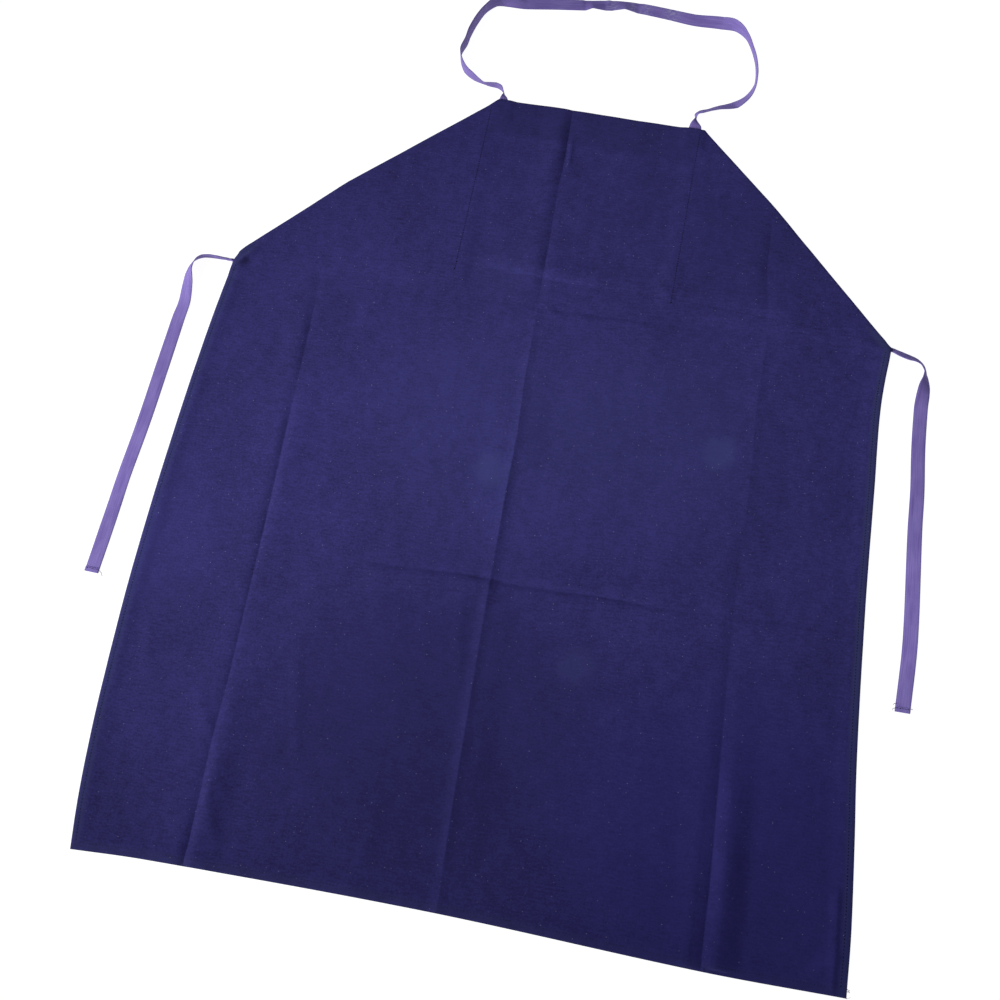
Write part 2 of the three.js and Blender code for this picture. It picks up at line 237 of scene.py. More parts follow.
def top_edge(x):
    left, right = LEFT_BIB[-1], RIGHT_BIB[-1]
    ripple = 0.8 * noise.noise(Vector((x / 38, 3.1, 0)))
    return left["y"] + (right["y"] - left["y"]) * (x - left["x"]) / (right["x"] - left["x"]) + ripple


def flap_foot(x):
    return straight(FLAP_FOOT, "x", "y", x)


def left_flap_edge(y):
    return LEFT_FLAP + ease(y, WAIST, TOP)


def right_flap_edge(y):
    return RIGHT_FLAP + 9 * min(max((y - WAIST) / (TOP - WAIST), 0), 1)


print("widest part, mm:", round(right_edge(-190) - left_edge(-190)))
print("top edge, mm:", RIGHT_BIB[-1]["x"] - LEFT_BIB[-1]["x"])

# %% [markdown]
# ## Pressed creases
# The apron has lain folded in a pack, so pressed creases run down it and across it. None is even: a
# crease can be a ridge, a valley or a step, and it changes along its line. So each row of a table
# gives a place along the crease, where its line is, and how high the cloth lies before the line, on
# it and after it. A power curve gives the sharp line with soft shoulders that pressed cotton has.

# %% Crease tables
COLUMNS = ("along", "place", "before", "line", "after")
REACH = 42
SHARPNESS = 1.6
LEFT_CREASE = [
    (-500, -279, 1.5, 0, 2.6), (-470, -279.2, 1.8, 0, 3.2), (-420, -280.2, 0.4, 0, 4.0),
    (-360, -282, 0.8, 0, 2.0), (-280, -281, 0.5, 0, 0.6), (-200, -282.5, 0.6, 0, 0.5),
    (-100, -284, 0.8, 0, 1.2), (0, -286.5, 1.1, 0, 1.0), (60, -288, 0.6, 0, 0.4),
    (120, -289, 1.5, 0, 0.1), (180, -291, 0.3, 0, 0.6), (225, -293, 0.1, 0, 0.2),
    (346, -287, 0, 0, 0), (500, -280, 0, 0, 0),
]
CENTRE_CREASE = [
    (-500, -13, 0, 1.0, 0.5), (-470, -13.5, 0, 1.0, 0.5), (-400, -16, 0, 1.9, 0.9),
    (-320, -17.5, 0, 2.6, 1.7), (-240, -19, 0.1, 1.5, 0.8), (-180, -20, 0, 1.7, 0.7),
    (-100, -20.5, 0.3, 1.2, 0.1), (-40, -21, 1.3, 2.5, 0.6), (40, -20.5, 1.2, 2.4, 1.2),
    (100, -23, 0.5, 1.5, 0.7), (160, -23.5, 0.4, 1.4, 0.6), (200, -23.5, 0.2, 0.4, 0.2),
    (230, -24, 0.6, 0, 0.4), (260, -24.2, 1.3, 0, 0.7), (320, -24.8, 1.4, 0, 0.4),
    (380, -25.5, 1.3, 0, 0.2), (420, -24.3, 2.4, 0, 0.3), (460, -24.8, 2.4, 0, 0.4),
    (500, -25.5, 0.8, 0, 0.3),
]
RIGHT_CREASE = [
    (-500, 256.5, 1.6, 0, 3.8), (-470, 256.5, 1.5, 0, 4.0), (-420, 256.4, 1.3, 0, 4.8),
    (-360, 255, 1.0, 0, 3.8), (-280, 252.5, 1.1, 0, 1.2), (-200, 250, 0.5, 0, 0.4),
    (-100, 248.8, 0.8, 0, 0.1), (0, 250, 0.2, 0.6, 0.3), (60, 249.8, 0.5, 0.9, 0.3),
    (120, 248.6, 0.1, 0.6, 0.2), (180, 250.5, 0.2, 0.6, 0), (215, 250.5, 0.1, 0.2, 0.1),
    (240, 250, 0.3, 0, 0.5), (300, 242.5, 0.8, 0, 0.3), (360, 242, 0.5, 0, 0.4), (395, 240, 0, 0, 0),
    (500, 238, 0, 0, 0),
]
LOWER_FOLD = [
    (-164, -141, 0, 0, 0), (-149, -140.3, 1.4, 0, 0.5), (-120, -139.5, 1.9, 0, 0.7),
    (-90, -138, 2.1, 0, 0.8), (-60, -136.5, 2.3, 0, 0.7), (-35, -136.5, 2.3, 0, 0.6),
    (0, -139, 1.3, 0, 0.8), (30, -138.5, 1.7, 0, 2.2), (65, -138.5, 1.9, 0, 2.4),
    (100, -137, 2.1, 0, 1.4), (140, -138, 1.6, 0, 1.6), (180, -138, 0.8, 0, 0.7),
    (220, -137, 0.4, 0, 0.4), (280, -133.5, 0.9, 0, 0.9), (320, -132.5, 0.7, 0, 0.3),
    (360, -132.5, 0.8, 0, 0.4), (392, -132, 0, 0, 0),
]
WAIST_STEP = [
    (-95, 206, 0, 0, 0), (-60, 207, 0.5, 0, 0.1), (-10, 206, 0.8, 0, 0.2), (30, 207, 0.6, 0, 0.2),
    (75, 208, 0.8, 0, 0.2), (115, 208, 0.7, 0, 0.1), (160, 208, 0.2, 0, 0), (250, 209, 0.4, 0, 0),
    (300, 209, 0, 0, 0),
]
WAIST_RISE = [
    (-150, 252, 0, 0, 0), (-90, 251, 0, 0, 0.9), (-60, 249, 0, 0, 1.8), (-10, 247, 0, 0, 2.0),
    (30, 245, 0, 0, 1.8), (75, 246, 0, 0, 1.2), (110, 246, 0, 0, 0.4), (190, 242, 0, 0, 0.6),
    (270, 238, 0, 0, 0.6), (330, 238, 0, 0, 0),
]
print("rows of the centre crease:", len(CENTRE_CREASE))


# %% Crease heights
def crease(points, shoulder):
    return {"shoulder": shoulder, "rows": [dict(zip(COLUMNS, point)) for point in points]}


LONG_CREASES = [crease(LEFT_CREASE, 9), crease(CENTRE_CREASE, 11), crease(RIGHT_CREASE, 13)]
CROSS_CREASES = [crease(LOWER_FOLD, 7), crease(WAIST_STEP, 6), crease(WAIST_RISE, 9)]


def pressed(offset, shoulder, before, line, after):
    """Height of the cloth at an offset from a line, from the heights before, on and after it."""
    away, side = abs(offset), (after if offset > 0 else before)
    if away < shoulder:
        return side + (line - side) * (1 - away / shoulder) ** SHARPNESS
    return side * (1 - ease(away, shoulder, REACH))


def crease_line(one, along):
    return smooth(one["rows"], "along", "place", along)


def crease_height(one, along, across):
    rows = one["rows"]
    offset = across - crease_line(one, along)
    if abs(offset) > REACH or not rows[0]["along"] < along < rows[-1]["along"]:
        return 0.0
    uneven = 1.3 + 0.35 * noise.noise(Vector((rows[0]["place"] / 90, along / 35, 0)))
    heights = (uneven * max(smooth(rows, "along", column, along), 0) for column in COLUMNS[2:])
    return pressed(offset, one["shoulder"], *heights)


def all_creases(x, y):
    down = max(crease_height(one, y, x) for one in LONG_CREASES)
    return down + max(crease_height(one, x, y) for one in CROSS_CREASES)


print("creases:", len(LONG_CREASES), "long,", len(CROSS_CREASES), "across")

# %% [markdown]
# ## Small folds
# Between the creases the cloth has short wrinkles, a pinch at the top of the centre crease and a
# few puckers where the waist corners were sewn. Each row of the table is one low fold with its two
# ends, so a fold can be moved or left out without touching the others. A height below zero is a fine
# pressed line. A little slow waviness and a finer crumple, both from noise, keep the rest from lying
# like paper.

# %% Wrinkle table
WRINKLES = [
    {"from": (-382, -246), "to": (-371, -299), "height": 1.1, "width": 4.5},
    {"from": (-311, -311), "to": (-281, -360), "height": 1.1, "width": 4.5},
    {"from": (-212, -257), "to": (-187, -373), "height": 1.1, "width": 4.5},
    {"from": (-273, -414), "to": (-248, -474), "height": 1.1, "width": 4.5},
    {"from": (-91, -412), "to": (-109, -486), "height": 0.9, "width": 5},
    {"from": (193, -373), "to": (212, -414), "height": 0.75, "width": 4},
    {"from": (174, -417), "to": (189, -439), "height": 0.75, "width": 4},
    {"from": (-50, -154), "to": (-38, -241), "height": 0.8, "width": 5},
    {"from": (237, -330), "to": (241, -498), "height": 1.1, "width": 2.4},
    {"from": (364, -487), "to": (389, -465), "height": 2.2, "width": 5},
    {"from": (-385, -478), "to": (-368, -455), "height": 0.6, "width": 5},
    {"from": (-19, 446), "to": (-18, 412), "height": 1.7, "width": 2.8},
    {"from": (-397, 208), "to": (-379, 227), "height": 2.3, "width": 3},
    {"from": (-396, 196), "to": (-376, 190), "height": 0.8, "width": 4},
    {"from": (392, 214), "to": (366, 224), "height": 0.8, "width": 4},
    {"from": (386, -500), "to": (384, -405), "height": 2.0, "width": 3},
    {"from": (-150, 222), "to": (-40, 221), "height": 0.4, "width": 2.5},
    {"from": (-20, 226), "to": (110, 222), "height": 0.5, "width": 2.5},
    {"from": (10, 192), "to": (96, 190), "height": 0.4, "width": 3},
    {"from": (-11, 208), "to": (8, 195), "height": 1.1, "width": 4},
    {"from": (22, 205), "to": (41, 197), "height": 0.9, "width": 4},
    {"from": (114, 265), "to": (129, 245), "height": 1.1, "width": 4},
    {"from": (108, 60), "to": (120, 196), "height": 0.5, "width": 9},
    {"from": (60, 40), "to": (96, 84), "height": 0.5, "width": 7},
    {"from": (-287, 10), "to": (-284, -100), "height": -0.12, "width": 1.5},
    {"from": (-284, -100), "to": (-281, -300), "height": -0.36, "width": 1.5},
]
FOLD_END = 8
print("wrinkles:", len(WRINKLES))

# %% Waves and relief
WAVES = [
    {"height": 0.7, "x": 170, "y": 210, "seed": 0.4},
    {"height": 0.35, "x": 34, "y": 42, "seed": 7.3},
    {"height": 0.14, "x": 12, "y": 15, "seed": 2.9},
]


def wrinkle_height(x, y):
    total = 0.0
    for row in WRINKLES:
        (x0, y0), (x1, y1) = row["from"], row["to"]
        run = math.hypot(x1 - x0, y1 - y0)
        along = ((x - x0) * (x1 - x0) + (y - y0) * (y1 - y0)) / run
        off = ((x - x0) * (y1 - y0) - (y - y0) * (x1 - x0)) / run
        if abs(off) < 3 * row["width"] and -FOLD_END < along < run + FOLD_END:
            ends = ease(along, -FOLD_END, FOLD_END) * (1 - ease(along, run - FOLD_END, run + FOLD_END))
            total += row["height"] * ends * math.exp(-((off / row["width"]) ** 2))
    return total


def waviness(x, y):
    total = 0.0
    for wave in WAVES:
        place = Vector((x / wave["x"], y / wave["y"], wave["seed"]))
        total += wave["height"] * (1 + noise.noise(place))
    return total


def relief(x, y):
    """Height of the lowest layer of cloth over the table."""
    return max(all_creases(x, y) + wrinkle_height(x, y) + waviness(x, y), 0)


print("height at the middle, mm:", round(relief(0, 0), 2))

# %% [markdown]
# ## Layers
# The edges are turned under and the top corners are folded behind, so the front rides up by one
# layer there, and by one more over a tape end. A layer that shows through as a faint step is what
# tells the eye that a hem is there. The very edge of the front rolls down over its hem.

# %% Layer heights
HEM_STEP, CORNER_STEP = 15, 16
NECK_TAILS = (-116, 132)
BIB_SLANT = 0.7
LEFT_GREY, BOTTOM_GREY = 0.6, 0.4


def edge_distance(x, y):
    """How far a point is inside the nearest edge of the front."""
    near = min(y - bottom_edge(x), top_edge(x) - y)
    slant = 1.0 if y < WAIST else BIB_SLANT
    return min(near, slant * (x - left_edge(y)), slant * (right_edge(y) - x))


def turned(x, y):
    """1 over a hem or folded corner, 0 over a single layer."""
    shares = [1 - ease(y - bottom_edge(x), BOTTOM_HEM, BOTTOM_HEM + HEM_STEP)]
    shares.append(1 - ease(top_edge(x) - y, TOP_HEM, TOP_HEM + CORNER_STEP))
    if y < 250:
        side = min(x - left_edge(min(y, WAIST)), right_edge(min(y, WAIST)) - x)
        shares.append(1 - ease(side, SIDE_HEM, SIDE_HEM + HEM_STEP))
    inside = min(max(left_flap_edge(y) - x, x - right_flap_edge(y)), y - flap_foot(x))
    shares.append(ease(inside, -CORNER_STEP, 0))
    return max(shares)


def hemmed(x, y):
    """1 over a side or bottom hem, where the dye looks greyer, 0 elsewhere."""
    slant = 1.0 if y < WAIST else BIB_SLANT
    left = LEFT_GREY * (1 - ease(slant * (x - left_edge(y)), 7, 12))
    right = 1 - ease(slant * (right_edge(y) - x), 7, 12)
    bottom = BOTTOM_GREY * (1 - ease(y - bottom_edge(x), 6, 13))
    return max(bottom, max(left, right) * (1 - ease(y, 225, 252)))


def banded(x, y):
    """1 over the wide top hem, where the dye looks darker, 0 elsewhere."""
    inside = min(x - left_flap_edge(y), right_flap_edge(y) - x)
    return (1 - ease(top_edge(x) - y, TOP_HEM - 4, TOP_HEM + 1)) * ease(inside, -14, 0)


def over_tail(x, y):
    """1 over the sewn end of a tape, 0 away from it."""
    neck = max(1 - ease(abs(x - tail), 9, 19) for tail in NECK_TAILS) * ease(y, 450, 464)
    side = min(x - left_edge(min(y, WAIST)), right_edge(min(y, WAIST)) - x)
    waist = (1 - ease(side, 36, 50)) * ease(y, 188, 199) * (1 - ease(y, 221, 240))
    return max(neck, waist)


def under_layer(x, y):
    """Upper face of a hem or a folded corner."""
    return relief(x, y) + LAYER * over_tail(x, y) + CLOTH


def front_layer(x, y):
    """Upper face of the front."""
    lift = LAYER * (turned(x, y) + over_tail(x, y))
    roll = 0.75 * (1 - min(max(edge_distance(x, y), 0) / 3, 1)) ** 2
    return relief(x, y) + lift - roll + CLOTH


print("front over a side hem, mm:", round(front_layer(-410, -190), 2))

# %% [markdown]
# ## Cloth finish
# The cloth is a plain-woven cotton, dyed dark blue. Close up it has a fine weave and thicker yarns
# that run across it. Further off the dye is a little uneven, some spots are rubbed paler, and specks
# of white lint sit all over it. Other spots are painted shade, where less light reaches the bib, the
# lower middle, the far bottom corner and a pucker, and a few are a painted highlight on the lit side
# of a wrinkle at the bottom right. Noise that is stretched along X gives the thick yarns, and all of
# it reads Object coordinates, so it keeps its real scale.

# %% Material helpers
def new_finish(name, roughness):
    """A material, its node tree and its shader, with the roughness set on the shader."""
    finish = bpy.data.materials.new(name)
    finish.use_nodes = True
    shader = finish.node_tree.nodes["Principled BSDF"]
    shader.inputs["Roughness"].default_value = roughness
    shader.inputs["Specular IOR Level"].default_value = 0.2
    return finish, finish.node_tree, shader


def wire(tree, output, target):
    """Joins an output to an input, or sets the input where a plain number or colour is given."""
    if isinstance(output, bpy.types.NodeSocket):
        tree.links.new(output, target)
    else:
        target.default_value = output


def sum_up(tree, operation, first, second):
    node = tree.nodes.new("ShaderNodeMath")
    node.operation = operation
    wire(tree, first, node.inputs[0])
    wire(tree, second, node.inputs[1])
    return node.outputs[0]


def fade(tree, value, start, end, low, high):
    """Maps a value from start..end to low..high, smoothly and within those limits."""
    node = tree.nodes.new("ShaderNodeMapRange")
    node.interpolation_type = "SMOOTHSTEP"
    limits = {"From Min": start, "From Max": end, "To Min": low, "To Max": high}
    wire(tree, value, node.inputs["Value"])
    for name, limit in limits.items():
        node.inputs[name].default_value = limit
    return node.outputs[0]


def blend(tree, share, first, second):
    node = tree.nodes.new("ShaderNodeMix")
    node.data_type = "RGBA"
    wire(tree, share, node.inputs["Factor"])
    wire(tree, first, node.inputs[6])
    wire(tree, second, node.inputs[7])
    return node.outputs[2]


def stretched(tree, place, scale):
    node = tree.nodes.new("ShaderNodeMapping")
    node.inputs["Scale"].default_value = scale
    tree.links.new(place, node.inputs["Vector"])
    return node.outputs["Vector"]


def grain(tree, place, scale, detail=2.0, rough=0.5):
    """Noise from 0 to 1 around one half; scale may differ along X, Y and Z."""
    node = tree.nodes.new("ShaderNodeTexNoise")
    node.inputs["Scale"].default_value = 1.0
    node.inputs["Detail"].default_value = detail
    node.inputs["Roughness"].default_value = rough
    tree.links.new(stretched(tree, place, scale), node.inputs["Vector"])
    return node.outputs["Fac"]


def ribs(tree, place, direction, pitch_mm):
    node = tree.nodes.new("ShaderNodeTexWave")
    node.bands_direction = direction
    node.inputs["Scale"].default_value = math.pi / (10 * pitch_mm * MM)
    node.inputs["Distortion"].default_value = 0.6
    tree.links.new(place, node.inputs["Vector"])
    return node.outputs["Fac"]


def raise_surface(tree, shader, height, depth_mm, strength):
    node = tree.nodes.new("ShaderNodeBump")
    node.inputs["Strength"].default_value = strength
    node.inputs["Distance"].default_value = depth_mm * MM
    tree.links.new(height, node.inputs["Height"])
    tree.links.new(node.outputs["Normal"], shader.inputs["Normal"])


def object_place(tree):
    return tree.nodes.new("ShaderNodeTexCoord").outputs["Object"]


def own_value(tree, name):
    node = tree.nodes.new("ShaderNodeAttribute")
    node.attribute_name = name
    return node.outputs["Fac"]


# %% Cloth colour
DEEP_BLUE = (0.0144, 0.0123, 0.0660, 1)
# the paler end of the random tone, and a painted highlight in the spots at the bottom right corner
WORN_AND_HIGHLIT_BLUE = (0.0470, 0.0405, 0.2130, 1)
HEM_BLUE = (0.0395, 0.0430, 0.1380, 1)
BAND_BLUE = (0.0210, 0.0196, 0.0980, 1)
# painted shade: a darker blue where the light falls off, on the bib and the lower middle
FALLOFF_SHADE_BLUE = (0.0150, 0.0132, 0.0800, 1)
# painted shade: the dark inside a deep pucker
PUCKER_SHADE_BLUE = (0.0080, 0.0078, 0.0360, 1)
# painted shade: the deeper, bluer colour where less light reaches the far bottom corner
CORNER_SHADE_BLUE = (0.0222, 0.0192, 0.1500, 1)
RUBBED_BLUE = (0.0430, 0.0470, 0.1750, 1)
LINT = (0.48, 0.48, 0.64, 1)
SPOTS_AND_PAINTED_LIGHT = [
    # painted shade where the light falls off, on the bib and the lower middle
    {"at": (200, 330), "core": 30, "edge": 150, "strength": 0.24, "colour": FALLOFF_SHADE_BLUE},
    {"at": (-60, -300), "core": 70, "edge": 250, "strength": 0.46, "colour": FALLOFF_SHADE_BLUE},
    # painted shade in a deep pucker by the left waist corner
    {"at": (-391, 207.5), "core": 2, "edge": 10, "strength": 0.45, "colour": PUCKER_SHADE_BLUE},
    {"at": (-383, 217), "core": 1, "edge": 9, "strength": 0.35, "colour": PUCKER_SHADE_BLUE},
    # a paler patch by the left edge
    {"at": (-402, -150), "core": 30, "edge": 110, "strength": 0.20, "colour": WORN_AND_HIGHLIT_BLUE},
    # painted highlight on the lit side of a wrinkle at the bottom right corner
    {"at": (340, -470), "core": 10, "edge": 80, "strength": 0.09, "colour": WORN_AND_HIGHLIT_BLUE},
    {"at": (370, -482), "core": 3, "edge": 18, "strength": 0.34, "colour": WORN_AND_HIGHLIT_BLUE},
    {"at": (382, -471), "core": 3, "edge": 18, "strength": 0.34, "colour": WORN_AND_HIGHLIT_BLUE},
    # painted shade over the far bottom corner
    {"at": (270, -390), "core": 80, "edge": 260, "strength": 0.40, "colour": CORNER_SHADE_BLUE},
    # paler, greyer rubbed patches
    {"at": (-60, 40), "core": 60, "edge": 200, "strength": 0.14, "colour": RUBBED_BLUE},
    {"at": (140, 70), "core": 40, "edge": 170, "strength": 0.16, "colour": RUBBED_BLUE},
    {"at": (-43, -9), "core": 10, "edge": 28, "strength": 0.46, "colour": RUBBED_BLUE},
    {"at": (211, 55), "core": 12, "edge": 27, "strength": 0.60, "colour": RUBBED_BLUE},
    {"at": (87, -220), "core": 8, "edge": 28, "strength": 0.36, "colour": RUBBED_BLUE},
    {"at": (-70, 250), "core": 10, "edge": 60, "strength": 0.15, "colour": RUBBED_BLUE},
]
RAGGED = 40
print("spots:", len(SPOTS_AND_PAINTED_LIGHT))

# %% Dye, spots, painted shade and highlights
cloth_finish, tree, shader = new_finish("apron_cloth", 0.92)
place = object_place(tree)
slub = grain(tree, place, (85, 480, 60), 3.0, 0.6)
weave = grain(tree, place, (430, 460, 60), 2.0, 0.6)
mottle = grain(tree, place, (75, 48, 20), 3.0, 0.65)
dye = grain(tree, place, (9, 7, 4), 4.0, 0.55)
tone = fade(tree, slub, 0.3, 0.7, 0.0, 0.21)
for pattern, weight in ((weave, 0.30), (mottle, 0.16), (dye, 0.16)):
    tone = sum_up(tree, "ADD", tone, fade(tree, pattern, 0.3, 0.7, 0.0, weight))
colour = blend(tree, tone, DEEP_BLUE, WORN_AND_HIGHLIT_BLUE)
colour = blend(tree, sum_up(tree, "MULTIPLY", own_value(tree, "hem"), 0.78), colour, HEM_BLUE)
colour = blend(tree, sum_up(tree, "MULTIPLY", own_value(tree, "band"), 0.35), colour, BAND_BLUE)
ragged = sum_up(tree, "MULTIPLY", sum_up(tree, "SUBTRACT", mottle, 0.5), RAGGED * MM)
for spot in SPOTS_AND_PAINTED_LIGHT:
    distance = tree.nodes.new("ShaderNodeVectorMath")
    distance.operation = "DISTANCE"
    tree.links.new(place, distance.inputs[0])
    distance.inputs[1].default_value = (spot["at"][0] * MM, spot["at"][1] * MM, 0)
    away = sum_up(tree, "ADD", distance.outputs["Value"], ragged)
    share = fade(tree, away, spot["core"] * MM, spot["edge"] * MM, spot["strength"], 0)
    colour = blend(tree, share, colour, spot["colour"])
print("dye and spot nodes:", len(tree.nodes))

# %% Lint and yarns
specks = tree.nodes.new("ShaderNodeTexVoronoi")
specks.voronoi_dimensions = "2D"
specks.inputs["Scale"].default_value = 150
tree.links.new(place, specks.inputs["Vector"])
near_speck = fade(tree, specks.outputs["Distance"], 0.045, 0.085, 1, 0)
lucky = tree.nodes.new("ShaderNodeSeparateColor")
tree.links.new(specks.outputs["Color"], lucky.inputs["Color"])
chance = sum_up(tree, "POWER", lucky.outputs["Red"], 15.0)
lint_share = sum_up(tree, "MULTIPLY", near_speck, sum_up(tree, "MULTIPLY", chance, 0.36))
colour = blend(tree, lint_share, colour, LINT)
tree.links.new(colour, shader.inputs["Base Color"])

yarns = sum_up(tree, "MULTIPLY", ribs(tree, place, "X", 1.0), ribs(tree, place, "Y", 1.0))
surface = sum_up(tree, "ADD", sum_up(tree, "MULTIPLY", yarns, 0.35), slub)
raise_surface(tree, shader, sum_up(tree, "ADD", surface, mottle), 0.25, 0.5)
print("cloth finish nodes:", len(tree.nodes))

# %% [markdown]
# ## From a flat grid to a laid cloth
# Each cloth piece starts as a flat grid. Its vertices are moved to the lines of the cut, which are
# closer together beside a crease or an edge, and then up to their layer. Solidify turns the grid
# into a thin wall, and a small bevel rounds its cut edge. That keeps the mesh even, where a boolean
# cut would leave slivers along the slanted edges.

# %% Cloth helpers
def stations(length, first, last, step):
    """Distances along a length: some near the start, some near the end, and even steps between."""
    head = [d for d in first if d < length / 2]
    tail = [length - d for d in reversed(last) if d < length / 2]
    count = max(1, round((tail[0] - head[-1]) / step))
    middle = [head[-1] + (tail[0] - head[-1]) * k / count for k in range(1, count)]
    return [d / length for d in head + middle + tail]


def laid_cloth(across, along, place_at, height_at):
    """A grid with one vertex for each pair of shares, put at its place and height."""
    bm = bmesh.new()
    hem, band = (bm.verts.layers.float.new(name) for name in ("hem", "band"))
    columns, rows = len(across) - 1, len(along) - 1
    bmesh.ops.create_grid(bm, x_segments=columns, y_segments=rows, size=1)
    for vert in bm.verts:
        column = round((vert.co.x + 1) / 2 * columns)
        row = round((vert.co.y + 1) / 2 * rows)
        x, y = place_at(across[column], along[row])
        vert.co = Vector((x, y, height_at(x, y))) * MM
        vert[hem], vert[band] = hemmed(x, y), banded(x, y)
    bmesh.ops.remove_doubles(bm, verts=bm.verts, dist=0.05 * MM)
    bmesh.ops.dissolve_degenerate(bm, edges=bm.edges, dist=0.01 * MM)
    return bm


def wall(bm, thickness, rounding):
    """Gives a sheet its thickness, behind its face, and rounds its cut edge."""
    bm.normal_update()
    bmesh.ops.solidify(bm, geom=bm.faces[:], thickness=thickness * MM)
    bmesh.ops.recalc_face_normals(bm, faces=bm.faces)
    rim = [e for e in bm.edges if e.calc_face_angle(0) > math.radians(50)]
    bmesh.ops.bevel(
        bm, geom=rim, offset=rounding * MM, segments=2, profile=0.5, affect="EDGES", material=-1
    )


def shown(bm, name, finish, slot, *nodes):
    """Makes the mesh a named piece of the object."""
    bmesh.ops.recalc_face_normals(bm, faces=bm.faces)
    for face in bm.faces:
        face.smooth = True
    for edge in bm.edges:
        edge.smooth = len(edge.link_faces) == 2 and edge.calc_face_angle(0) < math.radians(50)
    mesh = bpy.data.meshes.new(name)
    triangles = sum(len(f.verts) - 2 for f in bm.faces)
    bm.to_mesh(mesh)
    bm.free()
    piece = bpy.data.objects.new(name, mesh)
    mesh.materials.append(finish)
    bpy.context.scene.collection.objects.link(piece)
    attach(piece, "root")
    if nodes:
        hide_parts(*nodes)
    print(name, "triangles:", triangles)
    return piece


# %% [markdown]
# ## The front
# The front is one piece of cloth from the bottom edge to the bib. Its grid is built in four blocks,
# from the left edge to the left crease, the centre crease, the right crease and the right edge, so
# that mesh lines run along the creases. Above the waist the outer blocks narrow to nothing where a
# crease meets the slanted edge, and the doubled vertices there are merged.

# %% Front grid
BY_EDGE = [0, 1.2, 3, 5, 7.5, 10, 12, 14, 16.5, 20]
BY_CREASE = [0, 1, 2.2, 4, 6.5, 9.5, 12.5, 15.5]
BLOCKS = [
    {"width": 125, "first": BY_EDGE, "last": BY_CREASE},
    {"width": 265, "first": BY_CREASE, "last": BY_CREASE},
    {"width": 272, "first": BY_CREASE, "last": BY_CREASE},
    {"width": 142, "first": BY_CREASE, "last": BY_EDGE},
]
GRID_STEP = 5.0


def block_lines(y):
    """Where the five lines that bound the blocks cross a height."""
    left, right = left_edge(y), right_edge(y)
    creases = [min(max(crease_line(one, y), left), right) for one in LONG_CREASES]
    return [left, *creases, right]


def front_place(block_share, nominal_y):
    """A whole number picks the block, and its fraction the place across it."""
    block = min(int(block_share), 3)
    share = block_share - block
    x, y = 0.0, nominal_y
    for _ in range(3):
        lines = block_lines(y)
        x = lines[block] + (lines[block + 1] - lines[block]) * share
        at_foot = 1 - ease(nominal_y, FOOT, -300)
        at_top = ease(nominal_y, 400, TOP)
        y = nominal_y + (bottom_edge(x) - FOOT) * at_foot + (top_edge(x) - TOP) * at_top
    return x, y


front_across = [0.0]
for number, block in enumerate(BLOCKS):
    cuts = stations(block["width"], block["first"], block["last"], GRID_STEP)
    front_across += [number + share for share in cuts[1:]]
BY_FOLD = [0, 1.5, 3.2, 5.5, 8.5]
FOLDS = [FOOT, -137.5, 207, 247, TOP]
front_along = [FOOT]
for start, end in zip(FOLDS, FOLDS[1:]):
    first = BY_EDGE if start == FOOT else BY_FOLD
    last = BY_EDGE if end == TOP else BY_FOLD
    cuts = stations(end - start, first, last, GRID_STEP)
    front_along += [start + share * (end - start) for share in cuts[1:]]
print("front grid:", len(front_across), "by", len(front_along))

# %% Front cloth
front_mesh = laid_cloth(front_across, front_along, front_place, front_layer)
wall(front_mesh, CLOTH, 0.35)
front = shown(front_mesh, "front_cloth", cloth_finish, "apron_cloth", "front_panel")

# %% [markdown]
# ## Folded corners and hems
# Behind the front lie the two top corners, folded back to shape the bib, and the four turned edges.
# They are the same cloth as the front, one layer lower, and they end just inside its rolled edge.
# Each is a grid between four lines, so one helper with the right lines makes all six.

# %% Lines of the under layers
FLAP_TOP = 488


def shares(length, step):
    return stations(length, [0], [0], step)


def between(start, end, share):
    return start + (end - start) * share


def left_flap_place(u, v):
    x = between(-HALF_WIDTH, LEFT_FLAP, u)
    for _ in range(3):
        y = between(flap_foot(x), FLAP_TOP, v)
        x = between(left_edge(y) + 1.5 * EDGE_TURN, left_flap_edge(y), u)
    return x, y


def right_flap_place(u, v):
    x = between(RIGHT_FLAP, HALF_WIDTH, u)
    for _ in range(3):
        y = between(flap_foot(x), FLAP_TOP, v)
        x = between(right_flap_edge(y), right_edge(y) - 1.5 * EDGE_TURN, u)
    return x, y


def top_hem_place(u, v):
    x = between(-124, 135, u)
    y = between(top_edge(x) - TOP_HEM, top_edge(x) - EDGE_TURN, v)
    return between(left_flap_edge(y) + 0.5, right_flap_edge(y) - 0.5, u), y


def bottom_hem_place(u, v):
    x = between(left_edge(FOOT) + EDGE_TURN, right_edge(FOOT) - EDGE_TURN, u)
    return x, between(bottom_edge(x) + EDGE_TURN, bottom_edge(x) + BOTTOM_HEM, v)


def left_hem_place(u, v):
    y = between(bottom_edge(-HALF_WIDTH) + BOTTOM_HEM + 0.5, flap_foot(-HALF_WIDTH) - 0.5, v)
    return between(left_edge(y) + EDGE_TURN, left_edge(y) + SIDE_HEM, u), y


def right_hem_place(u, v):
    y = between(bottom_edge(HALF_WIDTH) + BOTTOM_HEM + 0.5, flap_foot(HALF_WIDTH) - 0.5, v)
    return between(right_edge(y) - SIDE_HEM, right_edge(y) - EDGE_TURN, u), y


print("left hem from, mm:", [round(value) for value in left_hem_place(0, 0)])

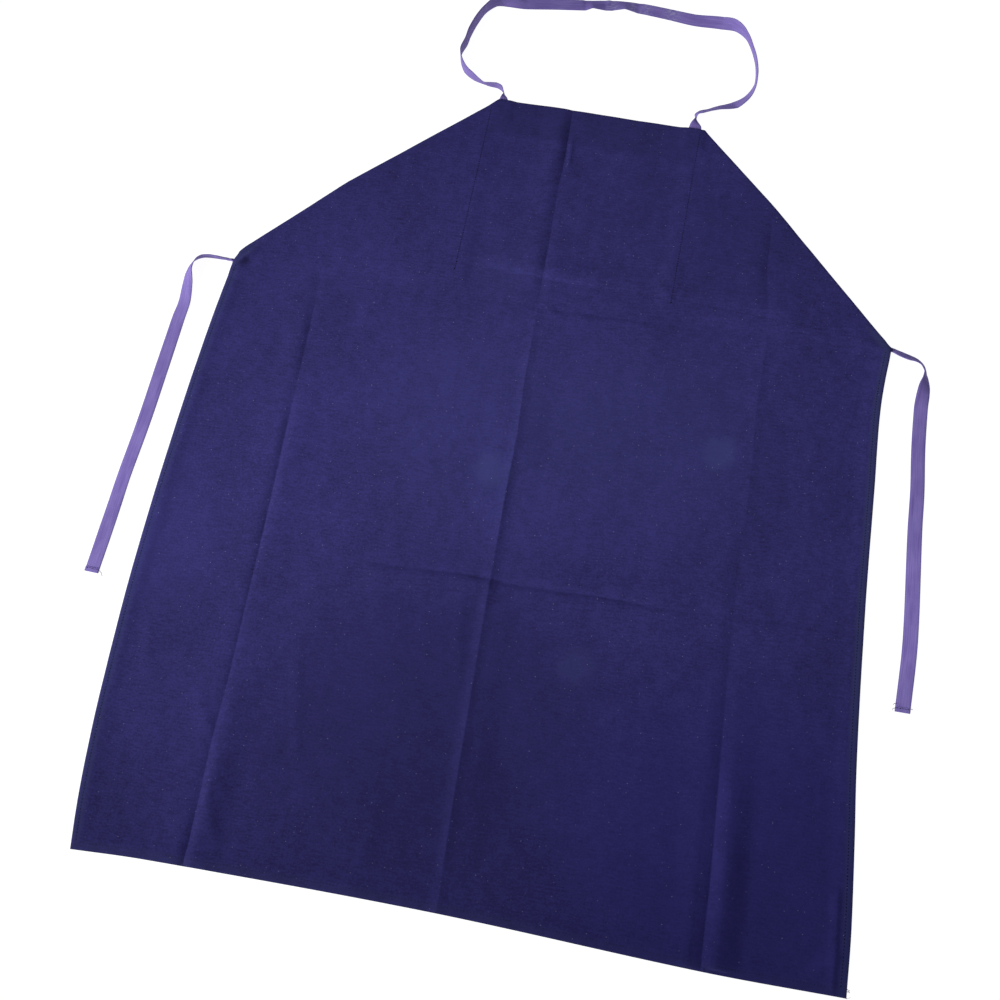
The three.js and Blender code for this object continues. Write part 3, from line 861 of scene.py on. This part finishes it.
# %% Under layers
UNDER_LAYERS = [
    ("left_corner_cloth", "left_corner_flap", (275, 275), left_flap_place),
    ("right_corner_cloth", "right_corner_flap", (268, 272), right_flap_place),
    ("top_hem_cloth", "top_hem", (258, 50), top_hem_place),
    ("bottom_hem_cloth", "bottom_hem", (798, 8), bottom_hem_place),
    ("left_hem_cloth", "left_side_hem", (8, 707), left_hem_place),
    ("right_hem_cloth", "right_side_hem", (8, 712), right_hem_place),
]
UNDER_STEP = 6
under_pieces = []
for name, node, (width, length), place_at in UNDER_LAYERS:
    across, along = shares(width, UNDER_STEP), shares(length, UNDER_STEP)
    mesh = laid_cloth(across, along, place_at, under_layer)
    wall(mesh, CLOTH, 0.3)
    under_pieces.append(shown(mesh, name, cloth_finish, "apron_cloth", node))

# %% [markdown]
# ## Tape finish
# The neck loop and the ties are a paler woven tape. Its yarns run along it, its two edges are a
# little darker, and the loop is worn pale in a few places. The pattern has to follow the tape round
# its turns, so the mesh carries two values, along and across, and the material reads those.

# %% Tape colour
TAPE_LILAC = (0.166, 0.116, 0.380, 1)
TAPE_PALE = (0.282, 0.216, 0.550, 1)
TAPE_EDGE = (0.130, 0.094, 0.310, 1)
TAPE_WORN = (0.40, 0.40, 0.56, 1)

tape_finish, tree, shader = new_finish("apron_tape", 0.88)
along_value = own_value(tree, "along")
across_value = own_value(tree, "across")
path = tree.nodes.new("ShaderNodeCombineXYZ")
tree.links.new(along_value, path.inputs["X"])
tree.links.new(across_value, path.inputs["Y"])
tape_place = path.outputs["Vector"]
streak = grain(tree, tape_place, (22, 14, 1), 3.0, 0.6)
cloud = grain(tree, tape_place, (26, 1.2, 1), 2.0, 0.5)
tone = sum_up(tree, "ADD", fade(tree, streak, 0.3, 0.7, 0, 0.55), fade(tree, cloud, 0.3, 0.7, 0, 0.45))
colour = blend(tree, tone, TAPE_LILAC, TAPE_PALE)
from_middle = sum_up(tree, "ABSOLUTE", sum_up(tree, "SUBTRACT", across_value, 0.5), 0.0)
colour = blend(tree, fade(tree, from_middle, 0.40, 0.5, 0, 0.55), colour, TAPE_EDGE)
worn_share = own_value(tree, "worn")
patchy = fade(tree, grain(tree, tape_place, (160, 9, 1), 2.0, 0.5), 0.45, 0.65, 0, 0.7)
colour = blend(tree, sum_up(tree, "MULTIPLY", worn_share, patchy), colour, TAPE_WORN)
tree.links.new(colour, shader.inputs["Base Color"])
rib = grain(tree, tape_place, (900, 10, 1), 1.0, 0.5)
raise_surface(tree, shader, sum_up(tree, "ADD", rib, streak), 0.2, 0.5)
print("tape finish nodes:", len(tree.nodes))

# %% [markdown]
# ## Neck loop and ties
# A tape 16 mm wide is sewn on behind each top corner for the neck, and one behind each waist corner
# to tie. It is soft but springy, so it stands on its edge in the bends and lies flat on the runs.
# Each row of a table gives a place on the surface and how far the tape leans there: 0 and 360 are
# flat, 90 and -90 on edge, and 180 and -180 flat with the other face up. A fourth number narrows it
# where it is bunched under a seam. A flat strap is modelled directly, because a simulation would lose
# its width.

# %% Tape routes
TAPE_WIDTH, TAPE_THICK = 16, 0.9
NECK_LOOP = [
    (-116, 468, -180), (-116, 493, -180, 0.8), (-116, 500, -168, 0.66), (-116.3, 503.5, -145, 0.5),
    (-117, 507, -104, 0.3), (-119.5, 511, -96, 0.9), (-127, 514.5, -104), (-137, 515, -110),
    (-144, 516, -117), (-160, 524, -92), (-174, 536, -84), (-183, 558, -90), (-179, 578, -96),
    (-177, 594, -98), (-171, 616, -96), (-163, 634, -91), (-151, 648, -100), (-137, 653.5, -140),
    (-112, 655.5, -176), (-75, 660.5, -174), (-38, 665, -176), (-25, 667, -196), (-4, 670, -176),
    (18, 672, -196), (41, 671, -176), (76, 667, -173), (112, 662, -166), (148, 661, -150),
    (167, 656, -106), (181, 643, -86), (191, 622, -84), (198, 599, -88), (200, 573, -95),
    (193, 550, -128), (178, 535, -154), (158, 526.5, -140), (147, 521, -134), (137.5, 517, -137),
    (132.5, 513.5, -130, 0.8), (131.5, 508.5, -88, 0.3), (131.5, 504, -40, 0.5),
    (131.7, 499, -10, 0.85), (132, 494, 0), (132, 463, 0),
]
LEFT_TIE = [
    (-372, 212, 0), (-396, 212.5, 0, 0.75), (-402.5, 212.5, -12, 0.26), (-407, 212.3, -70, 0.22),
    (-413, 211.5, -100, 0.5), (-421, 210.5, -104, 0.85), (-430, 210, -106), (-441, 208, -110),
    (-449, 201, -119), (-452, 188, -128), (-450, 170, -152), (-448, 146, -168), (-450, 122, -178),
    (-452, 60, -184), (-454.5, -10, -182), (-459, -86, -177), (-461, -148, -184),
    (-463.5, -203, -180),
]
RIGHT_TIE = [
    (366, 211, 360), (388, 218, 360, 0.7), (394.5, 219.6, 358, 0.36), (399, 218.6, 340, 0.42),
    (403, 216.5, 330, 0.58), (409, 213.5, 325, 0.8), (417, 210.5, 321, 0.92), (426, 207.5, 312),
    (433, 202, 304), (437, 192, 294), (438, 184, 309), (437.6, 176, 333), (437, 165, 350),
    (436, 148, 360), (436, 98, 359), (438, 45, 361), (438, -6, 366), (440, -100, 377),
    (440, -146, 377), (437, -210, 370),
]
WORN_PLACES = [
    {"along": 0.385, "reach": 0.012}, {"along": 0.412, "reach": 0.008},
    {"along": 0.430, "reach": 0.012}, {"along": 0.465, "reach": 0.016},
]
SECTIONS = 10
print("route rows:", len(NECK_LOOP), len(LEFT_TIE), len(RIGHT_TIE))


# %% Tape shape
def route_of(points):
    """Rows with a running measure of the route, as a smooth curve through uneven points needs."""
    rows, measure = [], 0.0
    for number, (x, y, lean, *narrow) in enumerate(points):
        if number:
            measure += math.dist((x, y), points[number - 1][:2]) ** 0.5
        width = narrow[0] if narrow else 1
        rows.append({"measure": measure, "x": x, "y": y, "lean": lean, "width": width})
    return rows


def on_route(rows, measure):
    """Place, heading and lean of the tape at a measure along its route."""
    x, y = (smooth(rows, "measure", column, measure) for column in ("x", "y"))
    nudge = 0.02
    ahead, behind = min(measure + nudge, rows[-1]["measure"]), max(measure - nudge, 0)
    dx, dy = (smooth(rows, "measure", c, ahead) - smooth(rows, "measure", c, behind) for c in ("x", "y"))
    lean = math.radians(straight(rows, "measure", "lean", measure))
    return Vector((x, y, 0)), Vector((dx, dy, 0)).normalized(), lean


def tape_point(rows, measure, side, rise):
    """A point of the tape: side is -0.5 to 0.5 across it, and rise is in mm off its middle."""
    middle, heading, lean = on_route(rows, measure)
    across = Vector((-heading.y * math.cos(lean), heading.x * math.cos(lean), math.sin(lean)))
    outward = heading.cross(across)
    width = TAPE_WIDTH * straight(rows, "measure", "width", measure)
    middle.z = (width * abs(across.z) + TAPE_THICK * abs(outward.z)) / 2
    return middle + across * side * width + outward * rise


def before_end(points, distance):
    """The measure at a distance in millimetres before the end of a route."""
    rows = route_of(points)
    end = rows[-1]["measure"]
    last_run = math.dist(points[-1][:2], points[-2][:2])
    return end - (end - rows[-2]["measure"]) * distance / last_run


def even_measures(start, end, count):
    return [start + (end - start) * k / count for k in range(count + 1)]


def tape_grid(rows, measures, rise, worn_places):
    """A tape's upper face between two measures, with its along, across and worn values."""
    bm = bmesh.new()
    values = {name: bm.verts.layers.float.new(name) for name in ("along", "across", "worn")}
    bmesh.ops.create_grid(bm, x_segments=len(measures) - 1, y_segments=6, size=1)
    lengths = [0.0]
    for before, after in zip(measures, measures[1:]):
        step = tape_point(rows, after, 0, 0) - tape_point(rows, before, 0, 0)
        lengths.append(lengths[-1] + step.length * MM)
    for vert in bm.verts:
        column = round((vert.co.x + 1) / 2 * (len(measures) - 1))
        side = vert.co.y / 2
        along = lengths[column]
        vert[values["along"]] = along
        vert[values["across"]] = side + 0.5
        worn = [1 - ease(abs(along - spot["along"]), 0, spot["reach"]) for spot in worn_places]
        vert[values["worn"]] = max([0, *worn])
        vert.co = tape_point(rows, measures[column], side, rise) * MM
    return bm, lengths[-1]


# %% Tapes
TAPES = [
    {"name": "neck_tape", "node": "neck_loop", "route": NECK_LOOP, "worn": WORN_PLACES},
    {"name": "left_tie_tape", "node": "left_tie", "route": LEFT_TIE, "worn": []},
    {"name": "right_tie_tape", "node": "right_tie", "route": RIGHT_TIE, "worn": []},
]
tape_pieces, tape_lengths = {}, {}
for tape in TAPES:
    rows = route_of(tape["route"])
    measures = even_measures(0, rows[-1]["measure"], SECTIONS * (len(rows) - 1))
    mesh, length = tape_grid(rows, measures, TAPE_THICK / 2, tape["worn"])
    wall(mesh, TAPE_THICK, 0.25)
    tape_pieces[tape["name"]] = shown(mesh, tape["name"], tape_finish, "apron_tape", tape["node"])
    tape_lengths[tape["name"]] = length
    print(tape["name"], "length, m:", round(length, 3))

# %% [markdown]
# ## Turned tape ends
# Each tie ends in a short turn, folded over once and held by a row of dark stitches, so that the
# tape can't fray. It is the last few millimetres of the route again, one thickness higher.

# %% Tie ends
TURN_LENGTH = 5.5
for name, points in (("left_tie", LEFT_TIE), ("right_tie", RIGHT_TIE)):
    measures = even_measures(before_end(points, TURN_LENGTH), before_end(points, 0), 6)
    rise = -0.5 * TAPE_THICK - 0.1 if name == "left_tie" else 1.5 * TAPE_THICK + 0.1
    mesh, _ = tape_grid(route_of(points), measures, rise, [])
    wall(mesh, TAPE_THICK, 0.25)
    tape_pieces[name + "_turn"] = shown(mesh, name + "_turn", tape_finish, "apron_tape")

# %% [markdown]
# ## Stitching
# Rows of stitches hold the hems and the folded corners. The thread sinks into the cloth, so at this
# distance a row reads as dark dots about 3.4 mm apart. One squashed sphere with few faces makes a
# stitch, and a loop sets it along each row on the surface of the cloth.

# %% Thread finish
THREAD_DARK = (0.0015, 0.0015, 0.006, 1)
THREAD_LIGHT = (0.004, 0.0038, 0.016, 1)

thread_finish, tree, shader = new_finish("sewing_thread", 0.75)
twist = grain(tree, object_place(tree), (1500, 1500, 1500), 1.0, 0.5)
tree.links.new(blend(tree, twist, THREAD_DARK, THREAD_LIGHT), shader.inputs["Base Color"])
print("thread finish nodes:", len(tree.nodes))

# %% One stitch
PITCH, STITCH_LENGTH = 3.4, 1.9


def one_stitch():
    """A small sphere that every stitch is a stretched copy of."""
    bm = bmesh.new()
    bmesh.ops.create_uvsphere(bm, u_segments=6, v_segments=4, radius=1)
    mesh = bpy.data.meshes.new("one_stitch")
    bm.to_mesh(mesh)
    bm.free()
    return mesh


STITCH_SHAPE = one_stitch()


def stitch(bm, place, heading, length, radius):
    """One stitch, centred on a place in millimetres."""
    turn = heading.to_track_quat("X", "Z").to_matrix().to_4x4()
    size = Matrix.Diagonal((length / 2, radius, radius, 1))
    before = len(bm.verts)
    bm.from_mesh(STITCH_SHAPE)
    bm.verts.ensure_lookup_table()
    for vert in bm.verts[before:]:
        vert.co = (Matrix.Translation(place) @ turn @ size @ vert.co) * MM


print("faces of a stitch:", len(STITCH_SHAPE.polygons))


# %% Stitch rows
def stitch_row(bm, point_at, start, end, radius):
    """Stitches along point_at(value), from start to end, on the front."""
    count = max(2, round(abs(end - start) / PITCH))
    for k in range(count):
        value = start + (end - start) * (k + 0.5) / count
        step = (end - start) / count * 0.3
        x0, y0 = point_at(value - step)
        x1, y1 = point_at(value + step)
        first = Vector((x0, y0, front_layer(x0, y0)))
        second = Vector((x1, y1, front_layer(x1, y1)))
        middle = (first + second) / 2 - Vector((0, 0, 0.4 * radius))
        stitch(bm, middle, second - first, STITCH_LENGTH, radius)


ROWS = {
    "left side": (lambda y: (left_edge(y) + 5.3, y), -488, 216, 0.62),
    "right side": (lambda y: (right_edge(y) - 6.6, y), -494, 214, 0.6),
    "bottom": (lambda x: (x, bottom_edge(x) + 8), -392, 394, 0.28),
    "left corner, inner": (lambda y: (between(-132, -129, (y - 250) / 236), y), 245, 487, 0.85),
    "right corner, inner": (lambda y: (between(133, 139, (y - 244) / 243), y), 240, 483, 0.72),
    "left corner, foot": (lambda x: (x, between(227, 249, (x + 396) / 264)), -392, -134, 0.32),
    "right corner, foot": (lambda x: (x, between(244, 225, (x - 133) / 262)), 135, 390, 0.32),
}
bm = bmesh.new()
for point_at, start, end, radius in ROWS.values():
    stitch_row(bm, point_at, start, end, radius)
stitching = shown(bm, "stitching", thread_finish, "apron_cloth")
print("stitched rows:", len(ROWS))

# %% [markdown]
# ## Tacks and loose threads
# Where a row ends, the machine sewed to and fro, which leaves a few thicker stitches: at the foot of
# each folded corner, where a tie leaves the cloth and across the turned tape ends. A few cut threads
# stick out beside the tape ends and at the bottom right corner. A thread is a circle that is extruded
# a step at a time along a bent line.

# %% Tacks
bm = bmesh.new()
for x, y in ((-132.3, 243), (-131.6, 253), (133, 238.5)):
    stitch(bm, Vector((x, y, front_layer(x, y) - 0.3)), Vector((0.3, 1, 0)), 2.4, 0.95)
stitch(bm, Vector((397.8, 219, 2.3)), Vector((1, -0.3, 0)), 2.8, 0.6)
stitch(bm, Vector((-404, 212.4, 2.0)), Vector((-1, 0, 0)), 4, 0.7)
for points in (LEFT_TIE, RIGHT_TIE):
    rows = route_of(points)
    first, second = before_end(points, 3.9), before_end(points, 3.7)
    rise = (1.5 * TAPE_THICK + 0.2) * (-1 if points is LEFT_TIE else 1)
    for k in range(5):
        place = tape_point(rows, first, -0.36 + 0.18 * k, rise)
        side = tape_point(rows, second, -0.26 + 0.18 * k, rise)
        stitch(bm, place, side - place, 2.3, 0.36)
tacks = shown(bm, "tacks", thread_finish, "apron_cloth")

# %% Loose threads
LOOSE_THREADS = [
    [(396, -499, 1.6), (399, -502, 1.2), (402, -503, 0.5), (405, -501, 0.4)],
    [(398, -493, 1.8), (402, -494.5, 1.2), (404, -497, 0.4)],
    [(399, -496, 1.8), (402.5, -496.5, 1.0), (404, -494.5, 0.4)],
    [(390, -497, 2.6), (393, -493, 3.2), (397, -492, 2.9)],
    [(-455, -200, 2.4), (-452, -202, 1.2), (-450, -206, 0.5)],
    [(443.5, -204, 2.2), (446, -204.5, 1.4), (448, -204.5, 0.6)],
    [(429.5, -206, 2.2), (427, -207, 1.2), (426.5, -209, 0.5)],
    [(430, -201, 2.2), (428, -201.5, 1.4), (427, -203, 0.6)],
]
THREAD_RADIUS = 0.3


def loose_thread(bm, points):
    places = [Vector(point) * MM for point in points]
    heading = places[1] - places[0]
    turn = heading.to_track_quat("Z", "X").to_matrix().to_4x4()
    matrix = Matrix.Translation(places[0]) @ turn
    ring = bmesh.ops.create_circle(
        bm, segments=5, radius=THREAD_RADIUS * MM, cap_ends=True, matrix=matrix
    )
    face = ring["verts"][0].link_faces[0]
    for before, after in zip(places, places[1:]):
        region = bmesh.ops.extrude_face_region(bm, geom=[face], use_keep_orig=before is places[0])
        moved = [item for item in region["geom"] if isinstance(item, bmesh.types.BMVert)]
        if before is not places[0]:
            bmesh.ops.delete(bm, geom=[face], context="FACES_ONLY")
        face = next(item for item in region["geom"] if isinstance(item, bmesh.types.BMFace))
        bmesh.ops.translate(bm, verts=moved, vec=after - before)


bm = bmesh.new()
for points in LOOSE_THREADS:
    loose_thread(bm, points)
shown(bm, "loose_threads", thread_finish, "apron_cloth")

# %% [markdown]
# ## Flat sizes
# Each under layer's cut width and length are read from its table, taken as at least 10 mm, and the
# sheets are counted. The front's cut isn't a rectangle.

for (name, _, sizes, _), piece in zip(UNDER_LAYERS, under_pieces):
    width, length = (max(size, 10) * MM for size in sizes)
for tape in TAPES:
    name = tape["name"]
print("sheets:", 1 + len(UNDER_LAYERS) + len(TAPES))
